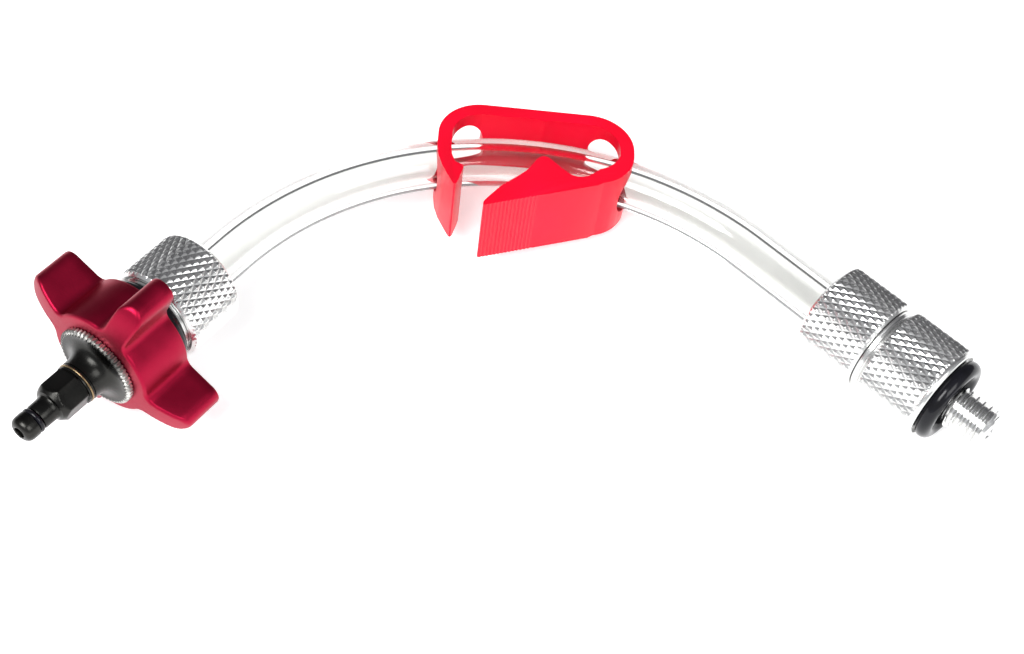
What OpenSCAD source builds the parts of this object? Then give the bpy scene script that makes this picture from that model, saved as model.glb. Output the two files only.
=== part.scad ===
// Short clear fill-and-bleed hose with a winged-knob hex probe at one end,
// an M5 threaded fitting at the other end and a plastic pinch clamp on the hose.
// Units are millimetres. It lies on z = 0 as it rests on a bench.

/* [Hose] */
// outside radius of the clear tube
hose_r = 2.75; // [2:0.05:4]
// inside radius of the clear tube
hose_bore_r = 1.5; // [1:0.1:2.3]
// radius of the bend that the tube lies in
bend_r = 37.5; // [25:0.5:60]
// angle of the left end of the bend, from the +Y direction
bend_left = 62.4; // [40:0.2:80]
// angle of the right end of the bend, from the +Y direction
bend_right = 38.6; // [20:0.2:60]

/* [Fittings] */
// outside radius of the knurled nuts and body
knurl_r = 5.5; // [4:0.1:7]
// radius of the M5 nipples over the thread crests
nipple_r = 2.5; // [2:0.1:4]
// radius of the thread that each nut runs on
spigot_r = 3.92; // [3:0.01:5]
// bore through both fittings
fitting_bore_r = 0.9; // [0.5:0.1:1.3]

/* [Knob] */
// radius over the wing tips
wing_r = 10.85; // [8:0.05:14]
// half thickness of a wing
wing_half = 1.4; // [1:0.1:2.5]
// radius of the hub between the wings
hub_r = 6.1; // [5:0.1:8]
// radius of the fillet between hub and wing
wing_fillet = 1.2; // [0.5:0.1:2]
// turn of the first wing from straight up, about the fitting's axis
wing_turn = 66.7; // [0:0.1:90]

/* [Probe] */
// across flats of the hex
hex_flats = 4.0; // [3:0.1:6]
// radius of the toothed disc
disc_r = 4.65; // [4:0.05:6]
// number of teeth round the disc
disc_teeth = 48; // [24:1:72]
// radius of the tip barrel
tip_r = 1.4; // [1:0.05:2]
// bore of the probe
probe_bore_r = 0.6; // [0.3:0.1:0.9]

/* [Clamp] */
// half the width of the clamp strip
strip_half = 4.35; // [3:0.05:7]
// half width of the windows that the tube passes through at both bends
slot_half = 3.05; // [2.7:0.05:3.5]
// corner radius of those windows
slot_corner = 2.4; // [1:0.1:2.8]
// turn of the clamp about the centre of the bend
clamp_turn = 4.5; // [-10:0.5:30]

/* [Hidden] */
$fn = 72;
tilt_x = -3.48;
tilt_y = 2.77;
lift = 8.41;
shift_x = 0.07;
shift_y = -16.38;
steel = [0.72, 0.72, 0.70];
black_steel = [0.12, 0.12, 0.13];
rubber = [0.05, 0.05, 0.06];
knob_red = [0.55, 0.05, 0.12];
clamp_red = [0.95, 0.05, 0.15];
// clear radii over the tube, inside the fittings and through the nuts
sleeve_r = hose_r + 0.06;
nut_hole_r = hose_r + 0.13;
// centres of the clamp's two bends
left_bend = [-5.8, 37.0];
right_bend = [6.3, 36.9];
// hinge of the clamp arm, in the middle of the right bend's wall
hinge = [10.7, 36.2];
hinge_r = 0.8;

function arc(c, r, a0, a1, n) = [for (i = [0:n]) let (a = a0 + (a1 - a0) * i / n)
    [c[0] + r * cos(a), c[1] + r * sin(a)]];
function turned(pts, a) = [for (p = pts) [p[0] * cos(a) - p[1] * sin(a), p[0] * sin(a) + p[1] * cos(a)]];

// the plane of the hose, tilted so that wing, nut and clamp stand on the bench
module plane() {
    translate([shift_x, shift_y, lift]) rotate([tilt_x, tilt_y, 0]) children();
}

// local +Z runs out along the left end of the tube
module left_run() {
    rotate([0, 0, bend_left]) translate([0, bend_r, 0]) rotate([0, -90, 0]) children();
}

// local +Z runs out along the right end of the tube
module right_run() {
    rotate([0, 0, -bend_right]) translate([0, bend_r, 0]) rotate([0, 90, 0]) children();
}

// the left fitting's frame, with local +X up from the plane of the hose
module left_end() {
    plane() left_run() children();
}

// the right fitting's frame
module right_end() {
    plane() right_run() children();
}

module turned_part(points) {
    rotate_extrude() polygon(points);
}

// ---- hose ----

module tube_section() {
    difference() {
        circle(r = hose_r, $fn = 48);
        circle(r = hose_bore_r, $fn = 48);
    }
}

module tube_straight(len) {
    linear_extrude(height = len) tube_section();
}

// hair-thin band that welds a straight run to the bend
module tube_joint() {
    translate([0, 0, -0.2]) linear_extrude(height = 0.4) difference() {
        circle(r = hose_r + 0.02, $fn = 48);
        circle(r = hose_bore_r - 0.02, $fn = 48);
    }
}

module hose() {
    color([0.9, 0.92, 0.9, 0.5]) plane() union() {
        rotate([0, 0, 90 - bend_right])
            rotate_extrude(angle = bend_left + bend_right, $fn = 180)
                translate([bend_r, 0]) tube_section();
        left_run() tube_straight(11.2);
        right_run() tube_straight(18.5);
        left_run() tube_joint();
        right_run() tube_joint();
    }
}

// ---- left fitting ----

module left_stem() {
    color(steel) left_end() turned_part([
        [fitting_bore_r, 5.8], [1.2, 5.8], [1.46, 6.6], [1.35, 6.7], [1.46, 7.6], [1.35, 7.7],
        [1.46, 8.6], [1.38, 8.7], [1.38, 11.25], [sleeve_r, 11.25], [sleeve_r, 8.3], [3.6, 8.3],
        [spigot_r, 8.6], [spigot_r, 11.7], [4.6, 11.7], [4.6, 12.0],
        [nipple_r, 12.0], [nipple_r, 18.2], [2.2, 18.6], [fitting_bore_r, 18.6]]);
}

module left_nut() {
    color(steel) left_end() turned_part([
        [nut_hole_r, 4.5], [4.95, 4.5], [knurl_r - 0.05, 5.0], [knurl_r - 0.05, 11.3], [5.2, 11.65],
        [4.0, 11.65], [4.0, 6.4], [nut_hole_r, 6.4]]);
}

module left_ferrule() {
    color([0.85, 0.75, 0.45]) left_end() turned_part([
        [sleeve_r, 6.5], [3.8, 6.5], [3.8, 7.5], [3.2, 8.2], [sleeve_r, 8.2]]);
}

module left_face_o_ring() {
    color(rubber) left_end() turned_part(concat(
        arc([4.0, 12.95], 0.9, 90, 270, 12), arc([4.35, 12.95], 0.9, -90, 90, 12)));
}

// ---- winged knob ----

function fillet_x() = sqrt((hub_r + wing_fillet) * (hub_r + wing_fillet)
    - (wing_half + wing_fillet) * (wing_half + wing_fillet));
function fillet_a() = atan2(wing_half + wing_fillet, fillet_x());
function wing_side() = concat(
    arc([fillet_x(), -(wing_half + wing_fillet)], wing_fillet, 180 - fillet_a(), 90, 8),
    arc([wing_r - wing_half, 0], wing_half, -90, 90, 16),
    arc([fillet_x(), wing_half + wing_fillet], wing_fillet, 270, 180 + fillet_a(), 8),
    arc([0, 0], hub_r, fillet_a() + 4, 86 - fillet_a(), 8));

module knob_profile() {
    polygon([for (k = [0:3]) for (p = turned(wing_side(), 90 * k)) p]);
}

module knob_crown() {
    turned_part([[0, 13.4], [wing_r - 0.25, 13.4], [wing_r + 0.1, 13.75], [wing_r + 0.1, 17.4],
        [10.7, 17.95], [10.0, 18.5], [8.6, 19.05], [7.2, 19.4], [5.9, 19.6], [5.2, 19.65], [0, 19.65]]);
}

module knob() {
    color(knob_red) left_end() difference() {
        intersection() {
            translate([0, 0, 13.4]) rotate([0, 0, wing_turn])
                linear_extrude(height = 7) knob_profile();
            knob_crown();
        }
        translate([0, 0, 13]) cylinder(r = 5.3, h = 0.9);
        translate([0, 0, 13]) cylinder(r = 2.56, h = 7);
        translate([0, 0, 18.72]) cylinder(r = 3.4, h = 2);
    }
}

// ---- hex probe ----

function tooth_ring() = [for (i = [0:disc_teeth * 2 - 1]) let (a = i * 180 / disc_teeth,
    r = i % 2 == 0 ? disc_r : disc_r - 0.2) [r * cos(a), r * sin(a)]];

module probe_turning() {
    turned_part(concat(
        [[probe_bore_r, 18.74], [3.38, 18.74], [3.38, 19.67], [4.3, 19.67], [4.3, 20.4]],
        arc([4.3, 22.4], 2.0, 270, 180, 12),
        [[2.3, 22.6], [2.05, 22.62], [2.05, 22.92], [2.3, 22.94], [2.3, 23.2], [1.35, 23.6],
        [1.35, 28.2], [0.85, 28.22], [0.85, 28.8], [tip_r, 28.84]],
        arc([tip_r - 0.5, 29.9], 0.5, 0, 90, 6),
        [[probe_bore_r, 30.4]]));
}

module probe_hex() {
    intersection() {
        translate([0, 0, 23.1]) cylinder(r = hex_flats / sqrt(3), h = 3.3, $fn = 6);
        turned_part([[0, 23.0], [2.3, 23.1], [2.35, 23.3], [2.35, 25.8], [1.9, 26.4], [0, 26.4]]);
    }
}

module probe() {
    color(black_steel) left_end() difference() {
        union() {
            probe_turning();
            translate([0, 0, 19.67]) linear_extrude(height = 0.7) polygon(tooth_ring());
            rotate([0, 0, 12]) probe_hex();
        }
        translate([0, 0, 18]) cylinder(r = probe_bore_r, h = 13);
    }
}

module probe_stop_ring() {
    color([0.75, 0.6, 0.3]) left_end() translate([0, 0, 22.77])
        rotate_extrude() translate([2.2, 0]) circle(r = 0.13, $fn = 16);
}

module probe_tip_o_ring() {
    color(rubber) left_end() translate([0, 0, 28.51])
        rotate_extrude() translate([1.15, 0]) circle(r = 0.28, $fn = 24);
}

// ---- right fitting ----

module right_body() {
    color(steel) right_end() turned_part([
        [fitting_bore_r, 12.4], [1.2, 12.4], [1.46, 13.2], [1.35, 13.3], [1.46, 14.2], [1.35, 14.3],
        [1.46, 15.2], [1.38, 15.3], [1.38, 18.55], [sleeve_r, 18.55], [sleeve_r, 14.6], [3.6, 14.6],
        [spigot_r, 14.9], [spigot_r, 18.0], [5.0, 18.0], [5.0, 18.75], [5.2, 18.85],
        [knurl_r, 19.15], [knurl_r, 25.75], [5.15, 26.3], [4.95, 26.3], [4.95, 26.0],
        [2.1, 26.0], [2.1, 27.8], [nipple_r, 28.2],
        [nipple_r, 32.2], [2.15, 32.6], [fitting_bore_r, 32.6]]);
}

module right_nut() {
    color(steel) right_end() turned_part([
        [nut_hole_r, 10.6], [5.0, 10.6], [knurl_r, 11.1], [knurl_r, 17.6], [5.2, 17.95],
        [4.0, 17.95], [4.0, 12.75], [nut_hole_r, 12.75]]);
}

module right_ferrule() {
    color([0.85, 0.75, 0.45]) right_end() turned_part([
        [sleeve_r, 12.85], [3.8, 12.85], [3.8, 13.8], [3.2, 14.5], [sleeve_r, 14.5]]);
}

module right_face_o_ring() {
    color(rubber) right_end() translate([0, 0, 26.98])
        rotate_extrude() translate([3.95, 0]) circle(r = 0.93, $fn = 32);
}

// ---- pinch clamp ----

// clamp local frame: x along the clamp, y out from the centre of the bend
module clamp_place() {
    plane() rotate([0, 0, clamp_turn]) children();
}

module strip(points) {
    translate([0, 0, -strip_half]) linear_extrude(height = 2 * strip_half) polygon(points);
}

// rounded window cut along X, from low to high in Y
module window(from, to, low, high) {
    translate([from, 0, 0]) rotate([90, 0, 90]) linear_extrude(height = to - from) polygon(concat(
        arc([high - slot_corner, slot_half - slot_corner], slot_corner, 0, 90, 8),
        arc([low + slot_corner, slot_half - slot_corner], slot_corner, 90, 180, 8),
        arc([low + slot_corner, slot_corner - slot_half], slot_corner, 180, 270, 8),
        arc([high - slot_corner, slot_corner - slot_half], slot_corner, 270, 360, 8)));
}

// the tube's way through both bends: straight along the tube, square through the bend's wall,
// and opened toward the loop's back
module hose_passage() {
    window(-13, -6.2, 33.0, 39.6);
    window(6.9, 13, 32.8, 39.6);
    translate(left_bend) rotate([0, 0, 150]) window(0, 7, -2.76, 2.76);
    translate(right_bend) rotate([0, 0, 30]) window(0, 7, -2.77, 2.77);
    translate(left_bend) rotate([0, 0, 100]) window(2, 7, -0.65, 4.6);
    translate(right_bend) rotate([0, 0, 80]) window(2, 7, -4.6, 0.37);
}

module clamp_frame() {
    color(clamp_red) clamp_place() difference() {
        strip(concat(
            arc(right_bend, 5.2, -6, 90, 14),
            [[0, 42.07]],
            arc(left_bend, 5.05, 92, 180, 12),
            [[-10.85, 35.0], [-10.6, 33.3], [-10.1, 31.8], [-9.4, 30.4], [-8.8, 29.2],
            [-8.45, 29.0], [-8.2, 29.3], [-7.65, 31.9], [-7.75, 32.1], [-8.7, 32.5],
            [-9.1, 33.6], [-9.25, 35.0]],
            arc(left_bend, 3.45, 180, 92, 10),
            [[0.2, 40.6], [1.2, 40.36], [2.2, 40.6]],
            arc(right_bend, 3.6, 90, -6, 12)));
        hose_passage();
        translate([hinge[0], hinge[1], -6]) cylinder(r = hinge_r + 0.06, h = 12, $fn = 32);
        translate([9, 35.2, -6]) cube([4, 1, 12]);
    }
}

module clamp_arm() {
    color(clamp_red) clamp_place() difference() {
        strip(concat(
            arc(hinge, hinge_r, 0, 180, 12),
            arc([6.4, 36.9], 3.6, -14, -70, 8),
            [[6.5, 32.4], [5.2, 31.95], [4.2, 32.3], [3.0, 33.3], [1.8, 34.5], [1.2, 34.7],
            [0.6, 34.3], [-0.7, 32.1], [-3.4, 29.3], [-4.9, 27.2], [-5.2, 26.4]],
            [[-4.9, 26.25], [1.0, 28.5], [7.6, 31.0]],
            arc([6.6, 36.2], 4.9, -60, 0, 10)));
        hose_passage();
    }
}

hose();
left_stem();
left_nut();
left_ferrule();
left_face_o_ring();
knob();
probe();
probe_stop_ring();
probe_tip_o_ring();
right_body();
right_nut();
right_ferrule();
right_face_o_ring();
clamp_frame();
clamp_arm();
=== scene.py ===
# Short clear bleed hose with a winged knob and hex probe, a threaded knurled
# fitting and a red pinch clamp. Lengths are millimetres until placed() scales them.
import math

import bmesh
import bpy
import numpy as np
from mathutils import Matrix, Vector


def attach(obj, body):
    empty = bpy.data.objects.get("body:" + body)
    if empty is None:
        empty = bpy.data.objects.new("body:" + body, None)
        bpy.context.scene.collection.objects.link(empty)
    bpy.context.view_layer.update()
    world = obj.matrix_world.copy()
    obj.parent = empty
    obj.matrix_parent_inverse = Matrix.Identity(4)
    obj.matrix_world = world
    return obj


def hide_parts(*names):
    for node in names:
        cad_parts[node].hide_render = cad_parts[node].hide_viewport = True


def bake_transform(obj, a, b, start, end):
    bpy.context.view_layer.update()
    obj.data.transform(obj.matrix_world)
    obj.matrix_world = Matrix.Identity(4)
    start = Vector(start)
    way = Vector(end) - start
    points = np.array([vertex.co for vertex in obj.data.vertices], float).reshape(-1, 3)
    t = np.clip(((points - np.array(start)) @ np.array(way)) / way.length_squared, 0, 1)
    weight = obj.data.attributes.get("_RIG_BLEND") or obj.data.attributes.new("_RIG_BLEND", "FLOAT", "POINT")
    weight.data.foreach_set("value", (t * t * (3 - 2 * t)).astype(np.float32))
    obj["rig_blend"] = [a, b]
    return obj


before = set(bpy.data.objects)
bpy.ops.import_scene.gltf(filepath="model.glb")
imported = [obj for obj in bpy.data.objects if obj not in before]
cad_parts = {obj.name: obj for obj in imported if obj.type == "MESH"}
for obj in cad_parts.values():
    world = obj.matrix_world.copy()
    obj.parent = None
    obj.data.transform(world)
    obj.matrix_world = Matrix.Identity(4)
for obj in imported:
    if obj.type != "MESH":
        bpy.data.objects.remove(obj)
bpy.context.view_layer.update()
scene = bpy.context.scene


def turn(axis, degrees):
    return Matrix.Rotation(math.radians(degrees), 4, axis)


def shift(x, y, z):
    return Matrix.Translation((x, y, z))


# radius of the bend that the tube lies in; its plane is tilted as the part rests on a bench
BEND = 37.5
TILT = turn("Y", 2.77) @ turn("X", -3.48)
PLANE = shift(0.07, -16.38, 8.41) @ TILT
LEFT = PLANE @ turn("Z", 62.4) @ shift(0, BEND, 0) @ turn("Y", -90)
RIGHT = PLANE @ turn("Z", -38.6) @ shift(0, BEND, 0) @ turn("Y", 90)
CLAMP = PLANE @ turn("Z", 4.5)
# the clamp arm's living hinge, in the clamp's own plane, and the angle it closes by
HINGE = (10.7, 36.2)
ARM_CLOSES = 21.5


# ---- camera, first ----

def add_camera():
    data = bpy.data.cameras.new("view")
    data.sensor_width = 36.0
    data.lens = 53.2
    data.clip_start = 0.01
    data.clip_end = 10.0
    cam = bpy.data.objects.new("view", data)
    scene.collection.objects.link(cam)
    m = PLANE @ shift(-2.07, -88.08, 123.8) @ turn("X", 39.225) @ turn("Z", 8.97)
    m.translation = m.translation * 0.001
    cam.matrix_world = m
    scene.camera = cam


add_camera()


# ---- materials ----

def new_material(name):
    mat = bpy.data.materials.new(name)
    mat.use_nodes = True
    nodes = mat.node_tree.nodes
    return mat, nodes, mat.node_tree.links, nodes["Principled BSDF"]


def noise(nodes, links, scale, detail=4.0, stretch=None):
    coord = nodes.new("ShaderNodeTexCoord")
    tex = nodes.new("ShaderNodeTexNoise")
    tex.inputs["Scale"].default_value = scale
    tex.inputs["Detail"].default_value = detail
    source = coord.outputs["Object"]
    if stretch:
        mapping = nodes.new("ShaderNodeMapping")
        mapping.inputs["Scale"].default_value = stretch
        links.new(source, mapping.inputs["Vector"])
        source = mapping.outputs["Vector"]
    links.new(source, tex.inputs["Vector"])
    return tex.outputs["Fac"]


def ramp(nodes, links, source, stops):
    node = nodes.new("ShaderNodeValToRGB")
    element = node.color_ramp.elements
    while len(element) < len(stops):
        element.new(0.5)
    for slot, (place, colour) in zip(element, stops):
        slot.position = place
        slot.color = (*colour, 1.0)
    links.new(source, node.inputs["Fac"])
    return node.outputs["Color"]


def vary_roughness(nodes, links, bsdf, source, low, high):
    node = nodes.new("ShaderNodeMapRange")
    node.inputs["To Min"].default_value = low
    node.inputs["To Max"].default_value = high
    links.new(source, node.inputs["Value"])
    links.new(node.outputs["Result"], bsdf.inputs["Roughness"])


def bump(nodes, links, bsdf, source, strength, distance):
    node = nodes.new("ShaderNodeBump")
    node.inputs["Strength"].default_value = strength
    node.inputs["Distance"].default_value = distance
    links.new(source, node.inputs["Height"])
    links.new(node.outputs["Normal"], bsdf.inputs["Normal"])


def metal(name, low, high, rough, grain, strength, stretch=None):
    mat, nodes, links, bsdf = new_material(name)
    bsdf.inputs["Metallic"].default_value = 1.0
    patch = noise(nodes, links, 260, 5.0)
    links.new(ramp(nodes, links, patch, [(0.3, low), (0.7, high)]), bsdf.inputs["Base Color"])
    vary_roughness(nodes, links, bsdf, patch, rough - 0.06, rough + 0.08)
    fine = noise(nodes, links, grain, 3.0, stretch)
    bump(nodes, links, bsdf, fine, strength, 0.00004)
    return mat


SILVER = metal("bright_aluminium", (0.66, 0.66, 0.65), (0.80, 0.80, 0.79), 0.22, 2600, 0.25)
THREAD = metal("thread_aluminium", (0.74, 0.74, 0.73), (0.86, 0.86, 0.85), 0.18, 2200, 0.15)
CRIMSON = metal("crimson_anodised", (0.33, 0.008, 0.034), (0.40, 0.011, 0.044), 0.42, 5200, 0.25)
BLACK = metal("black_oxide_steel", (0.018, 0.018, 0.017), (0.046, 0.045, 0.042), 0.27, 2400, 0.30)
WORN = metal("worn_teeth", (0.10, 0.10, 0.095), (0.62, 0.61, 0.58), 0.30, 2400, 0.30)
BRASS = metal("brass", (0.62, 0.46, 0.20), (0.74, 0.58, 0.30), 0.28, 2400, 0.15)
BRONZE = metal("dull_bronze", (0.16, 0.11, 0.06), (0.34, 0.25, 0.14), 0.30, 2400, 0.15)


def make_rubber():
    mat, nodes, links, bsdf = new_material("black_rubber")
    patch = noise(nodes, links, 500, 4.0)
    links.new(ramp(nodes, links, patch, [(0.3, (0.004, 0.004, 0.005)), (0.7, (0.008, 0.008, 0.012))]),
              bsdf.inputs["Base Color"])
    bsdf.inputs["Roughness"].default_value = 0.16
    bsdf.inputs["Specular IOR Level"].default_value = 0.25
    bump(nodes, links, bsdf, noise(nodes, links, 3000, 2.0), 0.15, 0.00003)
    return mat


def make_red():
    mat, nodes, links, bsdf = new_material("red_plastic")
    patch = noise(nodes, links, 120, 3.0)
    links.new(ramp(nodes, links, patch, [(0.3, (0.80, 0.002, 0.021)), (0.7, (0.86, 0.003, 0.029))]),
              bsdf.inputs["Base Color"])
    vary_roughness(nodes, links, bsdf, noise(nodes, links, 700, 3.0), 0.26, 0.36)
    bsdf.inputs["Specular IOR Level"].default_value = 0.22
    bump(nodes, links, bsdf, noise(nodes, links, 600, 2.0), 0.05, 0.00005)
    return mat


def make_clear():
    mat, nodes, links, bsdf = new_material("clear_tube")
    bsdf.inputs["Base Color"].default_value = (0.915, 0.92, 0.90, 1.0)
    bsdf.inputs["Transmission Weight"].default_value = 1.0
    bsdf.inputs["IOR"].default_value = 1.45
    vary_roughness(nodes, links, bsdf, noise(nodes, links, 300, 3.0), 0.02, 0.06)
    bump(nodes, links, bsdf, noise(nodes, links, 240, 2.0), 0.06, 0.0001)
    return mat


RUBBER = make_rubber()
RED = make_red()
CLEAR = make_clear()


# ---- mesh helpers ----

def placed(name, verts, faces, place, material, body, sharp=32.0, extra=()):
    points = np.asarray(verts, float)
    m = np.array(place)
    points = (points @ m[:3, :3].T + m[:3, 3]) * 0.001
    mesh = bpy.data.meshes.new(name)
    mesh.from_pydata(points.tolist(), [], [tuple(int(i) for i in f) for f in faces])
    mesh.validate()
    bm = bmesh.new()
    bm.from_mesh(mesh)
    bmesh.ops.recalc_face_normals(bm, faces=bm.faces)
    bm.to_mesh(mesh)
    bm.free()
    mesh.materials.append(material)
    for more in extra:
        mesh.materials.append(more)
    mesh.shade_smooth()
    mesh.set_sharp_from_angle(angle=math.radians(sharp))
    obj = bpy.data.objects.new(name, mesh)
    scene.collection.objects.link(obj)
    if body:
        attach(obj, body)
    return obj


def ring_faces(count, n, loop, depth=None):
    # faces between successive rings; a knurl's cells are split along their grooves
    faces = []
    last = count if loop else count - 1
    for i in range(last):
        k = (i + 1) % count
        for j in range(n):
            j2 = (j + 1) % n
            a, b, c, d = i * n + j, i * n + j2, k * n + j2, k * n + j
            if depth is None or max(depth[i, j], depth[i, j2], depth[k, j2], depth[k, j]) < 0.01:
                faces.append((a, b, c, d))
            elif depth[i, j] + depth[k, j2] >= depth[i, j2] + depth[k, j]:
                faces += [(a, b, c), (a, c, d)]
            else:
                faces += [(a, b, d), (b, c, d)]
    return faces


def lathe(name, rings, n, place, material, body, loop=True, sharp=32.0, turned=0.0):
    # rings: (s, r) with r a number or one radius for each of the n steps round
    theta = np.arange(n) * 2 * np.pi / n + math.radians(turned)
    radii = np.array([np.broadcast_to(np.asarray(r, float), (n,)) for _, r in rings])
    height = np.array([s for s, _ in rings])
    x = radii * np.cos(theta)
    y = radii * np.sin(theta)
    z = np.repeat(height[:, None], n, axis=1)
    verts = np.stack([x, y, z], axis=2).reshape(-1, 3)
    depth = radii.max(axis=1, keepdims=True) - radii
    faces = ring_faces(len(rings), n, loop, depth)
    return placed(name, verts, faces, place, material, body, sharp)


# ---- knurled collars ----

KNURLS = 42
STEPS = 8
KNURL_DEPTH = 0.13


def groove(value):
    f = value - np.floor(value)
    near = np.minimum(f, 1 - f)
    return np.clip(1 - near / 0.40, 0, 1)


def knurl_rings(radius, s0, s1, edge):
    # edge(s) caps the radius where the ends are chamfered
    n = KNURLS * STEPS
    pitch = 2 * np.pi * radius / KNURLS
    rise = pitch / math.tan(math.radians(30))
    around = np.arange(n) / STEPS
    rings = []
    steps = int(round((s1 - s0) / (rise / STEPS)))
    for i in range(steps + 1):
        s = s0 + (s1 - s0) * i / steps
        along = i / STEPS
        deep = np.maximum(groove(around + along), groove(around - along))
        rings.append((s, np.minimum(radius - KNURL_DEPTH * deep, edge(s))))
    return rings


def chamfer_edge(radius, s0, s1, low, length):
    def edge(s):
        t = min(s - s0, s1 - s)
        return radius if t > length else low + (radius - low) * max(t, 0.0) / length
    return edge


def collar(name, radius, s0, s1, bore, inner, seat, place, body, node):
    edge = chamfer_edge(radius, s0, s1, radius - 0.42, 0.42)
    rings = [(s0, bore), (s0, bore + 0.5), (s0, radius - 0.62)]
    rings += knurl_rings(radius, s0, s1, edge)
    rings += [(s1, radius - 0.62), (s1, inner + 0.12), (s1 - 0.12, inner), (seat, inner), (seat, bore)]
    obj = lathe(name, rings, KNURLS * STEPS, place, SILVER, body, sharp=18.0)
    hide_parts(node)
    return obj


collar("left_collar", 5.45, 4.5, 11.65, 2.88, 4.0, 6.4, LEFT, "left_nut", "left_nut")
collar("right_collar", 5.5, 10.6, 17.95, 2.88, 4.0, 12.75, RIGHT, "right_nut", "right_nut")


# ---- right body: turned neck, knurled barrel, threaded nipple ----

def right_body():
    radius = 5.5
    edge = chamfer_edge(radius, 18.9, 25.95, radius - 0.35, 0.3)
    rings = [(12.4, 0.9), (12.4, 1.2), (13.2, 1.46), (13.3, 1.35), (14.2, 1.46), (14.3, 1.35),
             (15.2, 1.46), (15.3, 1.38), (18.55, 1.38), (18.55, 2.81), (14.6, 2.81), (14.6, 3.6),
             (14.9, 3.9), (18.0, 3.92), (18.0, 4.86), (18.06, 4.96), (18.14, 4.98), (18.22, 4.9),
             (18.32, 4.86), (18.5, 4.86), (18.6, 4.92), (18.7, 4.98), (18.76, 5.0)]
    rings += [(18.84, radius - 0.42)]
    rings += knurl_rings(radius, 18.9, 25.75, edge)
    rings += [(25.82, 5.44), (26.0, 5.4), (26.2, 5.26), (26.3, 5.12), (26.3, 4.98), (26.24, 4.95),
              (26.0, 4.95), (26.0, 2.3), (26.0, 1.2), (26.0, 0.9)]
    obj = lathe("right_barrel", rings, KNURLS * STEPS, RIGHT, SILVER, "hose_line", sharp=18.0)
    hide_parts("right_body")

    n = 96
    pitch = 0.8
    theta = np.arange(n) / n
    rings = [(25.96, 0.95), (25.96, 2.1), (27.7, 2.1)]
    step = 0.05
    for i in range(int((32.35 - 27.75) / step) + 1):
        s = 27.75 + i * step
        f = s / pitch - theta
        f = f - np.floor(f)
        tooth = np.clip((np.abs(f - 0.5) - 0.09) / 0.27, 0, 1)
        r = 2.05 + 0.44 * (1 - tooth * tooth * (3 - 2 * tooth))
        cap = 2.5 if s < 31.85 else 2.5 - (s - 31.85) * 0.9
        base = min(1.0, (s - 27.75) / 0.45)
        rings.append((s, np.minimum(2.1 + (r - 2.1) * base, cap)))
    rings += [(32.5, 1.85), (32.56, 1.7), (32.58, 1.35), (32.5, 1.12), (32.3, 0.97), (31.6, 0.93)]
    obj = lathe("right_nipple", rings, n, RIGHT, THREAD, "hose_line", sharp=50.0)
    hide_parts("right_body")


right_body()


# ---- winged knob ----

def arc(cx, cy, r, a0, a1, count):
    a = np.radians(np.linspace(a0, a1, count))
    return np.stack([cx + r * np.cos(a), cy + r * np.sin(a)], axis=1)


def knob_outline(count):
    hub, wing, half, fillet = 6.1, 10.85, 1.4, 1.2
    reach = math.sqrt((hub + fillet) ** 2 - (half + fillet) ** 2)
    lean = math.degrees(math.atan2(half + fillet, reach))
    quarter = np.concatenate([
        arc(reach, -(half + fillet), fillet, 180 - lean, 90, 24),
        arc(wing - half, 0, half, -90, 90, 60),
        arc(reach, half + fillet, fillet, 270, 180 + lean, 24),
        arc(0, 0, hub, lean, 90 - lean, 24)[1:-1]])
    turns = [math.radians(90 * k) for k in range(4)]
    whole = np.concatenate([
        quarter @ np.array([[math.cos(t), math.sin(t)], [-math.sin(t), math.cos(t)]]) for t in turns])
    closed = np.vstack([whole, whole[:1]])
    length = np.concatenate([[0], np.cumsum(np.linalg.norm(np.diff(closed, axis=0), axis=1))])
    at = np.linspace(0, length[-1], count, endpoint=False)
    return np.stack([np.interp(at, length, closed[:, k]) for k in range(2)], axis=1)


def crown(r):
    return np.interp(r, [0, 5.2, 5.9, 6.6, 7.4, 8.2, 9.0, 9.7, 10.2, 10.6, 10.85, 11.2],
                     [19.66, 19.65, 19.61, 19.52, 19.36, 19.14, 18.88, 18.58, 18.32, 18.06, 17.86, 17.5])


def inset(outline, amount):
    ahead = np.roll(outline, -1, axis=0) - np.roll(outline, 1, axis=0)
    ahead /= np.linalg.norm(ahead, axis=1, keepdims=True)
    return outline + amount * np.stack([-ahead[:, 1], ahead[:, 0]], axis=1)


def circle_like(outline, r):
    return outline / np.linalg.norm(outline, axis=1, keepdims=True) * r


def knob():
    count = 352
    outline = knob_outline(count)
    rings = []

    def flat(points, s):
        rings.append(np.column_stack([points, np.broadcast_to(s, (count,))]))

    flat(circle_like(outline, 2.56), 18.3)
    flat(circle_like(outline, 2.56), 13.9)
    flat(circle_like(outline, 5.3), 13.9)
    flat(circle_like(outline, 5.3), 13.45)
    flat(circle_like(outline, 5.35), 13.4)
    flat(inset(outline, 0.22), 13.4)
    flat(inset(outline, 0.07), 13.46)
    flat(outline, 13.62)
    top = crown(np.linalg.norm(outline, axis=1)) - 0.32
    for t in (0.2, 0.4, 0.6, 0.8):
        flat(outline, 13.62 + (top - 13.62) * t)
    for k in range(6):
        a = math.radians(90 * k / 5)
        points = inset(outline, 0.32 * (1 - math.cos(a)))
        flat(points, crown(np.linalg.norm(points, axis=1)) - 0.32 * (1 - math.sin(a)))
    edge = inset(outline, 0.32)
    seat = circle_like(outline, 3.45)
    for k in range(1, 13):
        points = edge + (seat - edge) * k / 12
        flat(points, crown(np.linalg.norm(points, axis=1)))
    flat(seat, 18.72)
    verts = np.concatenate(rings)
    faces = ring_faces(len(rings), count, True)
    obj = placed("winged_knob", verts, faces, LEFT @ turn("Z", 66.7), CRIMSON, "knob", sharp=40.0)
    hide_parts("knob")


knob()


# ---- hex probe ----

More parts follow.
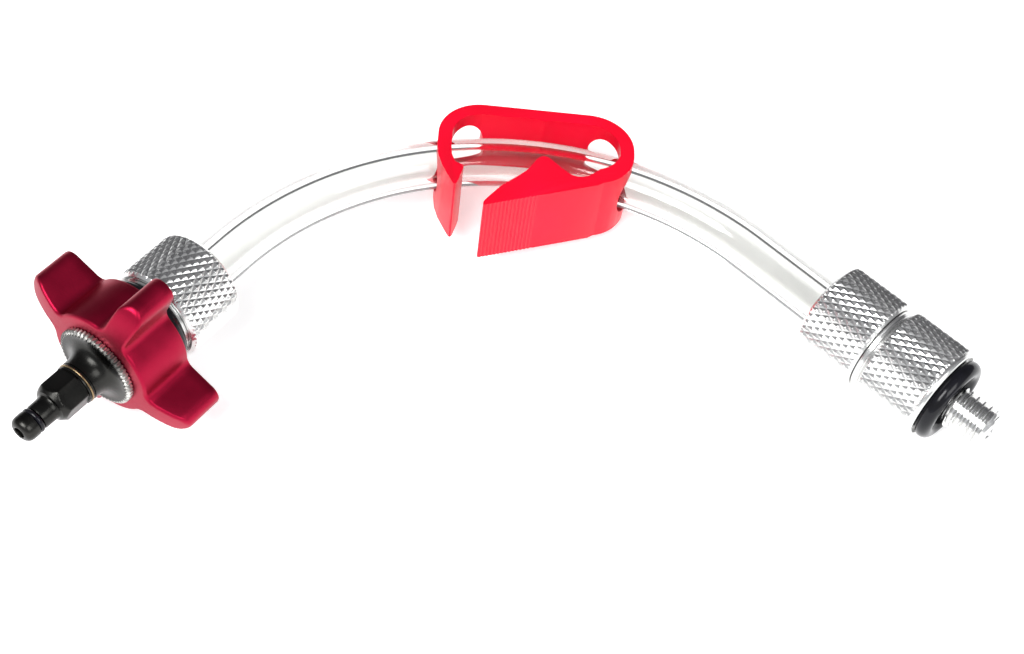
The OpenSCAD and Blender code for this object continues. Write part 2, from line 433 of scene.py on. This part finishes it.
def probe_disc():
    teeth = 54
    n = teeth * 4
    phase = np.arange(n) % 4
    cut = np.where((phase == 2) | (phase == 3), 0.24, 0.0)
    rings = [(19.7, 2.4), (19.7, 4.2), (19.68, 4.45 - cut * 0.5), (19.75, 4.66 - cut), (20.22, 4.66 - cut),
             (20.42, 4.46 - cut * 0.8), (20.46, 4.2), (20.42, 3.9), (20.44, 3.6), (20.5, 3.3), (20.62, 3.0),
             (20.8, 2.74), (21.05, 2.55), (21.4, 2.4), (21.8, 2.32), (22.2, 2.3), (22.2, 1.2), (19.9, 1.2)]
    obj = lathe("probe_disc", rings, n, LEFT, BLACK, "knob", sharp=30.0)
    obj.data.materials.append(WORN)
    inverse = np.linalg.inv(np.array(LEFT))
    for poly in obj.data.polygons:
        p = inverse @ np.array([*(v * 1000 for v in poly.center), 1.0])
        if math.hypot(p[0], p[1]) > 4.32 and p[2] > 19.72:
            poly.material_index = 1
    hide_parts("probe")


def probe_shank():
    n = 96
    theta = np.arange(n) * 2 * np.pi / n
    half_flats, over_corners = 2.0, 2.27
    wrapped = (theta + math.pi / 6) % (math.pi / 3) - math.pi / 6
    hexed = np.minimum(half_flats / np.cos(wrapped), over_corners)
    rings = [(22.1, 1.3), (22.1, 2.3), (22.42, 2.3), (22.46, 2.2), (22.56, 2.2), (22.6, 2.3),
             (22.8, 2.3), (22.84, 2.18), (22.96, 2.18), (23.0, 2.28), (23.12, 2.26)]
    for s in np.linspace(23.15, 26.35, 40):
        cap = min(2.12 + (s - 23.15) * 0.9, 1.78 + (26.35 - s) * 0.75, 2.35)
        rings.append((s, np.minimum(hexed, cap)))
    rings += [(26.4, 1.62), (26.46, 1.5), (26.6, 1.42), (26.9, 1.38), (28.0, 1.36), (28.16, 1.3),
              (28.22, 1.05), (28.24, 0.9), (28.78, 0.9), (28.8, 1.05), (28.84, 1.34), (28.92, 1.42),
              (29.6, 1.42), (29.9, 1.38), (30.12, 1.27), (30.28, 1.1), (30.38, 0.9), (30.4, 0.72),
              (30.36, 0.62), (30.2, 0.58), (28.0, 0.58)]
    obj = lathe("probe_shank", rings, n, LEFT, BLACK, "knob", sharp=28.0, turned=12.0)
    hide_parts("probe")


probe_disc()
probe_shank()


# ---- pinch clamp, one moulding bent at its living hinge ----

def clamp_outline():
    frame_half = [
        arc(6.3, 36.9, 5.2, 0, 90, 26), [[3.0, 42.09], [0.0, 42.07], [-3.0, 42.06]],
        arc(-5.8, 37.0, 5.05, 92, 180, 26),
        [[-10.85, 35.0], [-10.6, 33.3], [-10.1, 31.8], [-9.4, 30.4], [-8.75, 29.2], [-8.6, 29.0],
         [-8.4, 29.0], [-8.25, 29.3], [-7.95, 30.4], [-7.68, 31.7], [-7.7, 31.95], [-8.0, 32.15],
         [-8.7, 32.5], [-9.1, 33.6], [-9.25, 35.0]],
        arc(-5.8, 37.0, 3.45, 180, 92, 20),
        [[-3.0, 40.5], [-0.4, 40.6], [0.4, 40.56], [0.9, 40.42], [1.2, 40.36], [1.5, 40.42], [2.0, 40.56],
         [2.8, 40.6]],
        arc(6.3, 36.9, 3.6, 90, 0, 22)]
    arm = [
        [[9.9, 36.6], [9.9, 36.2], [9.88, 35.8]],
        arc(6.4, 36.9, 3.6, -20, -70, 12),
        [[6.5, 32.4], [5.9, 32.1], [5.2, 31.98], [4.6, 32.1], [4.0, 32.45], [3.0, 33.35], [2.1, 34.25],
         [1.7, 34.58], [1.2, 34.68], [0.8, 34.5], [0.4, 34.0], [-0.2, 32.9], [-0.7, 32.1], [-1.4, 31.35],
         [-3.4, 29.4], [-4.75, 27.5], [-5.08, 26.98], [-5.2, 26.7], [-5.22, 26.45], [-5.12, 26.32]]]
    ribs = []
    for i in range(28):
        u = -4.9 + i * 0.21
        ribs.append([u, 26.30 + 0.376 * (u + 4.9) + (0.09 if i % 2 else 0.0)])
    rest = [ribs, [[1.1, 28.58], [4.5, 29.85], [7.4, 30.95]],
            arc(6.6, 36.1, 4.9, -74, -2, 22), [[11.5, 36.4], [11.5, 36.7]]]
    return np.concatenate([np.array(part, float) for part in frame_half + arm + rest])


def window_cutter(place, start, end, low, high):
    # a rounded window cut along local X, for the tube to pass through
    half, corner = 2.85, 2.4
    left, right, rise = low + corner, high - corner, half - corner
    section = np.concatenate([
        arc(right, rise, corner, 0, 90, 12), arc(left, rise, corner, 90, 180, 12),
        arc(left, -rise, corner, 180, 270, 12), arc(right, -rise, corner, 270, 360, 12)])
    n = len(section)
    verts = [(u, v, z) for u in (start, end) for v, z in section]
    faces = ring_faces(2, n, False)
    faces += [tuple(range(n)), tuple(n + k for k in range(n))]
    return placed("window_cutter", verts, faces, CLAMP @ place, RED, None)


# straight along the tube, square through each bend's wall, and opened toward the loop's back
WINDOWS = (
    (shift(0, 0, 0), -13, -6.2, 33.0, 39.6),
    (shift(0, 0, 0), 6.9, 13, 32.8, 39.6),
    (shift(-5.8, 37.0, 0) @ turn("Z", 150), 0, 7, -2.76, 2.76),
    (shift(6.3, 36.9, 0) @ turn("Z", 30), 0, 7, -2.77, 2.77),
    (shift(-5.8, 37.0, 0) @ turn("Z", 100), 2, 7, -0.65, 4.6),
    (shift(6.3, 36.9, 0) @ turn("Z", 80), 2, 7, -4.6, 0.37))


def smooth(t):
    t = np.clip(t, 0, 1)
    return t * t * (3 - 2 * t)


def set_weights(obj, weights):
    data = obj.data.attributes["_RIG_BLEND"].data
    data.foreach_set("value", np.asarray(weights, np.float32))
    obj.data.update()


def local_points(obj, place):
    co = np.empty(len(obj.data.vertices) * 3)
    obj.data.vertices.foreach_get("co", co)
    co = co.reshape(-1, 3) * 1000
    m = np.linalg.inv(np.array(place))
    return co @ m[:3, :3].T + m[:3, 3]


def metres(place, point):
    p = place @ Matrix.Translation(point)
    return tuple(v * 0.001 for v in p.translation)


def clamp():
    outline = clamp_outline()
    n = len(outline)
    half = 4.35
    verts = [(x, y, z) for z in (-half, half) for x, y in outline]
    faces = [tuple(range(n)), tuple(range(2 * n - 1, n - 1, -1))]
    faces += [(k, (k + 1) % n, n + (k + 1) % n, n + k) for k in range(n)]
    obj = placed("pinch_clamp", verts, faces, CLAMP, RED, None, sharp=30.0)
    for window in WINDOWS:
        cutter = window_cutter(*window)
        cut = obj.modifiers.new("window", "BOOLEAN")
        cut.operation = "DIFFERENCE"
        cut.object = cutter
        cut.solver = "EXACT"
        bpy.context.view_layer.update()
        bake(obj)
        bpy.data.objects.remove(cutter)
    soften = obj.modifiers.new("soften", "BEVEL")
    soften.width = 0.00016
    soften.segments = 3
    soften.limit_method = "ANGLE"
    soften.angle_limit = math.radians(38)
    soften.harden_normals = False
    bake(obj)
    obj.data.shade_smooth()
    obj.data.set_sharp_from_angle(angle=math.radians(35))
    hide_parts("clamp_frame", "clamp_arm")
    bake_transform(obj, "clamp_frame", "clamp_arm", start=metres(CLAMP, (10.7, 37.2, 0)),
             end=metres(CLAMP, (10.7, 35.2, 0)))
    p = local_points(obj, CLAMP)
    weights = np.where(p[:, 0] > -6.4, smooth((37.2 - p[:, 1]) / 2.0), 0.0)
    set_weights(obj, weights)


def bake(obj):
    graph = bpy.context.evaluated_depsgraph_get()
    mesh = bpy.data.meshes.new_from_object(obj.evaluated_get(graph))
    obj.modifiers.clear()
    old = obj.data
    obj.data = mesh
    mesh.name = obj.name
    bpy.data.meshes.remove(old)


clamp()


# ---- clear tube in three lengths: fixed at its ends, carried and squeezed at the clamp ----

TUBE_R = 2.75
TUBE_BORE = 1.5
# how far the closed arm's tooth pushes the tube's outer wall, and the bore's wall inside it
TOOTH_PRESS = 3.35
BORE_PRESS = 2.9
AT_CLAMP = (90 - 13.0, 90 + 22.0)


def tube_path(kind):
    # (point, outward direction) pairs along the centre line in the tube's plane
    path = []
    left, right = math.radians(90 + 62.4), math.radians(90 - 38.6)

    def on_arc(a):
        return (BEND * math.cos(a), BEND * math.sin(a)), (math.cos(a), math.sin(a))

    a0, a1 = (math.radians(v) for v in AT_CLAMP)
    if kind == "left":
        out = (math.cos(left), math.sin(left))
        for s in np.linspace(11.2, 0.6, 12):
            path.append(((BEND * out[0] - s * out[1], BEND * out[1] + s * out[0]), out))
        path += [on_arc(a) for a in np.linspace(left, a1, 44)]
    elif kind == "middle":
        path += [on_arc(a) for a in np.linspace(a1, a0, 110)]
    else:
        path += [on_arc(a) for a in np.linspace(a0, right, 30)]
        out = (math.cos(right), math.sin(right))
        for s in np.linspace(0.6, 18.5, 18):
            path.append(((BEND * out[0] + s * out[1], BEND * out[1] - s * out[0]), out))
    return path


def tube(kind, n=56):
    path = tube_path(kind)
    theta = np.arange(n) * 2 * np.pi / n
    verts = []
    for radius in (TUBE_R, TUBE_BORE):
        for (x, y), (ox, oy) in path:
            side = radius * np.cos(theta)
            verts.append(np.column_stack([x + ox * side, y + oy * side, radius * np.sin(theta)]))
    rings = len(path)
    verts = np.concatenate(verts)
    outer = ring_faces(rings, n, False)
    inner = [tuple(i + rings * n for i in reversed(f)) for f in ring_faces(rings, n, False)]
    faces = outer + inner
    first, last = 0, rings - 1
    for ring, open_end in ((first, kind == "left"), (last, kind == "right")):
        if open_end:
            for j in range(n):
                j2 = (j + 1) % n
                faces.append((ring * n + j, ring * n + j2, (rings + ring) * n + j2, (rings + ring) * n + j))
    obj = placed("tube_" + kind, verts, faces, PLANE, CLEAR, None, sharp=60.0)
    fix_normals(obj, rings * n)
    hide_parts("hose")
    return obj


def fix_normals(obj, outer_count):
    # outer wall faces away from the centre line, inner wall toward it
    bm = bmesh.new()
    bm.from_mesh(obj.data)
    bm.verts.ensure_lookup_table()
    m = np.linalg.inv(np.array(PLANE))
    flip = []
    for face in bm.faces:
        ids = [v.index for v in face.verts]
        kinds = {i < outer_count for i in ids}
        if len(kinds) == 2:
            continue
        c = np.array([*(x * 1000 for x in face.calc_center_median()), 1.0])
        p = (m @ c)[:3]
        q = m[:3, :3] @ np.array(face.normal)
        a = math.atan2(p[1], p[0])
        a = min(max(a, math.radians(90 - 38.6)), math.radians(90 + 62.4))
        out = np.array([math.cos(a), math.sin(a), 0])
        base = p - out * (p @ out - BEND)
        along = np.array([-out[1], out[0], 0])
        base = out * BEND + along * ((p - out * BEND) @ along)
        away = (p - base) @ q > 0
        if away != (True in kinds):
            flip.append(face)
    bmesh.ops.reverse_faces(bm, faces=flip)
    bm.to_mesh(obj.data)
    bm.free()
    obj.data.shade_smooth()


def polar(p):
    return np.degrees(np.arctan2(p[:, 1], p[:, 0]))


def tubes():
    a0, a1 = AT_CLAMP
    middle_way = metres(PLANE, (0, BEND, 0))
    left = tube("left")
    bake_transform(left, "hose_line", "clamp_frame", start=metres(PLANE, (-30, 20, 0)), end=middle_way)
    p = local_points(left, PLANE)
    a = polar(p)
    set_weights(left, np.where(p[:, 1] < 17.0, 0, np.clip((90 + 60.0 - a) / (90 + 60.0 - a1), 0, 1)))

    right = tube("right")
    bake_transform(right, "hose_line", "clamp_frame", start=metres(PLANE, (22, 29, 0)), end=middle_way)
    p = local_points(right, PLANE)
    a = polar(p)
    set_weights(right, np.clip((a - (90 - 37.0)) / (a0 - (90 - 37.0)), 0, 1))

    middle = tube("middle")
    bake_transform(middle, "clamp_frame", "clamp_arm", start=metres(CLAMP, (0, 40, 0)),
             end=metres(CLAMP, (0, 30, 0)))
    p = local_points(middle, CLAMP)
    radial = np.hypot(p[:, 0], p[:, 1]) - BEND
    radius = np.hypot(radial, p[:, 2])
    outside = radius > (TUBE_R + TUBE_BORE) / 2
    share = (1 - radial / np.where(outside, TUBE_R, TUBE_BORE)) / 2
    along = p[:, 0] - 1.3
    spread = np.where(along < 0, 4.3, 2.5)
    fall = np.exp(-(along / spread) ** 2)
    window = smooth((p[:, 0] + 13.0) / 3.0) * smooth((8.0 - p[:, 0]) / 2.5)
    press = np.where(outside, TOOTH_PRESS, BORE_PRESS) * fall * window * share
    reach = np.hypot(p[:, 0] - HINGE[0], p[:, 1] - HINGE[1])
    weights = press / (reach * math.radians(ARM_CLOSES))
    set_weights(middle, np.clip(weights, 0, 1))


tubes()


# ---- carried-over CAD nodes ----

def dress(node, material):
    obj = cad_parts[node]
    if not obj.material_slots:
        obj.data.materials.append(material)
    for slot in obj.material_slots:
        slot.material = material


dress("left_stem", SILVER)
dress("left_ferrule", BRASS)
dress("right_ferrule", BRASS)
dress("left_face_o_ring", RUBBER)
dress("right_face_o_ring", RUBBER)
dress("probe_tip_o_ring", RUBBER)
dress("probe_stop_ring", BRONZE)


# ---- floor, light ----

def add_floor():
    mesh = bpy.data.meshes.new("floor")
    e = 1.5
    mesh.from_pydata([(-e, -e, 0), (e, -e, 0), (e, e, 0), (-e, e, 0)], [], [(0, 1, 2, 3)])
    obj = bpy.data.objects.new("floor", mesh)
    scene.collection.objects.link(obj)
    mat, nodes, links, bsdf = new_material("pale_floor")
    bsdf.inputs["Base Color"].default_value = (0.86, 0.86, 0.86, 1.0)
    bsdf.inputs["Roughness"].default_value = 0.9
    bsdf.inputs["Specular IOR Level"].default_value = 0.1
    bsdf.inputs["Emission Color"].default_value = (1.0, 1.0, 1.0, 1.0)
    bsdf.inputs["Emission Strength"].default_value = 0.50
    mesh.materials.append(mat)


def add_area(name, place, target, size, power, colour=(1.0, 1.0, 1.0)):
    data = bpy.data.lights.new(name, "AREA")
    data.shape = "SQUARE"
    data.size = size
    data.energy = power
    data.color = colour
    obj = bpy.data.objects.new(name, data)
    scene.collection.objects.link(obj)
    direction = Matrix.Translation(target).translation - Matrix.Translation(place).translation
    obj.location = place
    obj.rotation_euler = direction.to_track_quat("-Z", "Y").to_euler()


def add_world():
    # a pale room in front, dark behind and above
    world = bpy.data.worlds.new("studio")
    world.use_nodes = True
    nodes, links = world.node_tree.nodes, world.node_tree.links
    back = nodes["Background"]
    coord = nodes.new("ShaderNodeTexCoord")
    split = nodes.new("ShaderNodeSeparateXYZ")
    links.new(coord.outputs["Generated"], split.inputs["Vector"])
    spread = nodes.new("ShaderNodeMapRange")
    spread.inputs["From Min"].default_value = -1.0
    spread.inputs["From Max"].default_value = 1.0
    links.new(split.outputs["Y"], spread.inputs["Value"])
    shade = ramp(nodes, links, spread.outputs["Result"], [
        (0.0, (0.70, 0.71, 0.73)), (0.35, (0.55, 0.56, 0.58)), (0.62, (0.30, 0.30, 0.31)),
        (0.85, (0.15, 0.15, 0.16)), (1.0, (0.20, 0.20, 0.21))])
    links.new(shade, back.inputs["Color"])
    back.inputs["Strength"].default_value = 0.9
    scene.world = world


add_floor()
add_world()
add_area("key", (-0.16, -0.24, 0.42), (0, 0, 0), 0.26, 2.6)
add_area("fill", (0.30, -0.25, 0.30), (0, 0, 0), 0.26, 0.9)
scene.view_settings.view_transform = "Standard"
